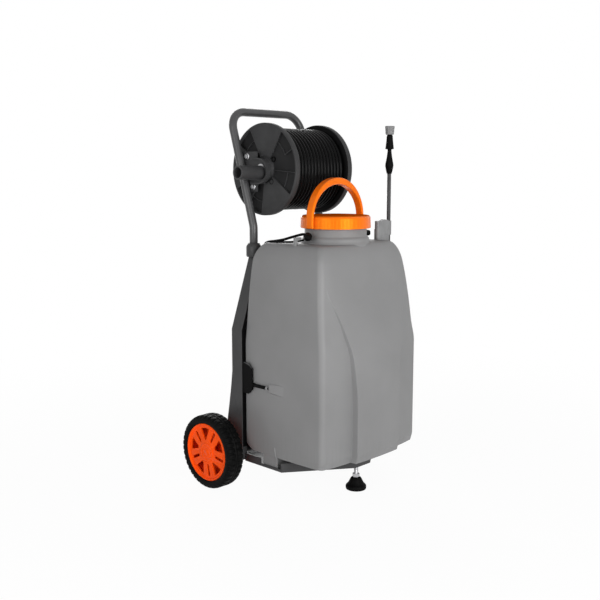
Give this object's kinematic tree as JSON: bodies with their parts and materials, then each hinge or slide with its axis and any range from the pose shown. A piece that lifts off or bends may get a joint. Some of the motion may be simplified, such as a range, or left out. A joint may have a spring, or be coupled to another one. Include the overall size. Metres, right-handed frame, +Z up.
{
  "type": "wheeled sprayer cart",
  "caption": "Upright sprayer cart: moulded tank with screw lid and carrying bail on a two-wheeled frame, with hose reel on the handle, spray lance, levelling foot and battery pump box.",
  "frame": {"origin": "on the floor, at the centre of the footprint's bounding box", "axes": "+Z up, -Y towards the tank's front, +X towards the side that carries the lance; the axle runs along X behind the origin"},
  "size_m": [0.564, 0.4716, 1.0177],
  "materials": {
    "frame_grey": "dark grey powder coat",
    "tube_grey": "grey metallic coat, satin",
    "reel_grey": "dark grey moulded, matte",
    "tank_grey": "mid grey blow-moulded, satin",
    "light_grey": "light grey moulded, matte",
    "orange": "bright orange moulded, semi-gloss",
    "black_plastic": "black moulded, matte",
    "rubber": "black rubber, matte",
    "tyre": "black notched tread, matte",
    "hose": "black hose, satin",
    "steel": "zinc-plated",
    "brass": "turned"
  },
  "bodies": {
    "cart": {"axle": "steel", "side_channel_left": "frame_grey", "side_channel_right": "frame_grey", "upper_crossbar": "frame_grey", "lower_crossbar": "frame_grey", "base_tray": "frame_grey", "foot_nut": "steel", "handle_tube": "tube_grey", "handle_socket_left": "frame_grey", "handle_socket_right": "frame_grey", "reel_bracket_left": "frame_grey", "reel_bracket_right": "frame_grey", "bracket_bolt_left_upper": "steel", "bracket_bolt_left_lower": "steel", "bracket_bolt_right_upper": "steel", "bracket_bolt_right_lower": "steel", "swivel_inlet": "brass", "tank": "tank_grey", "neck_strainer": "black_plastic", "retainer_rod_left": "black_plastic", "retainer_rod_right": "black_plastic", "retainer_tip_left": "rubber", "retainer_tip_right": "rubber", "tie_bolt_left": "steel", "tie_bolt_right": "steel", "hose_hook": "light_grey", "lance_holster": "black_plastic", "lance_clip": "light_grey", "power_box": "black_plastic", "power_box_cover": "black_plastic", "battery": "black_plastic", "pump": "black_plastic", "tank_outlet": "black_plastic"},
    "wheel_left": {"tyre_left": "tyre", "rim_left": "orange", "hub_cap_left": "orange"},
    "wheel_right": {"tyre_right": "tyre", "rim_right": "orange", "hub_cap_right": "orange"},
    "reel": {"reel_flange_left": "reel_grey", "reel_flange_right": "reel_grey", "reel_drum": "reel_grey", "hose_inner_layers": "hose", "hose_winding": "hose", "hose_coupling": "brass", "reel_shaft": "steel", "crank_arm": "frame_grey"},
    "crank_knob": {"crank_knob": "black_plastic"},
    "lid_seal": {"lid_gasket": "rubber"},
    "lid": {"lid": "orange"},
    "bail": {"lid_bail": "orange"},
    "foot": {"foot_pad": "rubber", "foot_rod": "steel"},
    "lance": {"gun_body": "black_plastic", "lance_tube": "steel", "nozzle_body": "black_plastic"},
    "trigger": {"gun_trigger": "black_plastic"},
    "nozzle_cap": {"nozzle_cap": "light_grey"},
    "switch": {"power_switch": "orange"},
    "flow_knob": {"flow_knob": "black_plastic"}
  },
  "joints": [
    {"name": "wheel_left_spin", "type": "hinge", "parent": "cart", "child": "wheel_left", "pos_m": [-0.2555, 0.13575, 0.1], "axis": [1, 0, 0], "continuous": true},
    {"name": "wheel_right_spin", "type": "hinge", "parent": "cart", "child": "wheel_right", "pos_m": [0.2555, 0.13575, 0.1], "axis": [1, 0, 0], "continuous": true},
    {"name": "reel_spin", "type": "hinge", "parent": "cart", "child": "reel", "pos_m": [0, 0.08275, 0.852], "axis": [1, 0, 0], "continuous": true},
    {"name": "crank_knob_spin", "type": "hinge", "parent": "reel", "child": "crank_knob", "pos_m": [0.2455, 0.19275, 0.852], "axis": [1, 0, 0], "continuous": true},
    {"name": "lid_lift", "type": "slide", "parent": "cart", "child": "lid_seal", "axis": [0, 0, 1], "range_m": [0, 0.02]},
    {"name": "lid_turn", "type": "hinge", "parent": "lid_seal", "child": "lid", "pos_m": [0, -0.07725, 0.716], "axis": [0, 0, 1], "range_deg": [0, 25]},
    {"name": "bail_fold", "type": "hinge", "parent": "lid", "child": "bail", "pos_m": [0, -0.07725, 0.712], "axis": [1, 0, 0], "range_deg": [0, 85]},
    {"name": "foot_slide", "type": "slide", "parent": "cart", "child": "foot", "axis": [0, 0, 1], "range_m": [-0.01, 0.02]},
    {"name": "lance_lift", "type": "slide", "parent": "cart", "child": "lance", "axis": [0, 0, 1], "range_m": [0, 0.08]},
    {"name": "trigger_pull", "type": "hinge", "parent": "lance", "child": "trigger", "pos_m": [0.229, -0.09075, 0.3183], "axis": [0, 1, 0], "range_deg": [0, 5], "stiffness_Nm_per_rad": 0.05},
    {"name": "nozzle_cap_turn", "type": "hinge", "parent": "lance", "child": "nozzle_cap", "pos_m": [0.207, -0.09075, 0.955], "axis": [0, 0, 1], "range_deg": [0, 180]},
    {"name": "switch_rock", "type": "hinge", "parent": "cart", "child": "switch", "pos_m": [-0.05, 0.18605, 0.345], "axis": [1, 0, 0], "range_deg": [0, 18]},
    {"name": "flow_knob_turn", "type": "hinge", "parent": "cart", "child": "flow_knob", "pos_m": [0.045, 0.18805, 0.345], "axis": [0, 1, 0], "range_deg": [0, 270]}
  ]
}
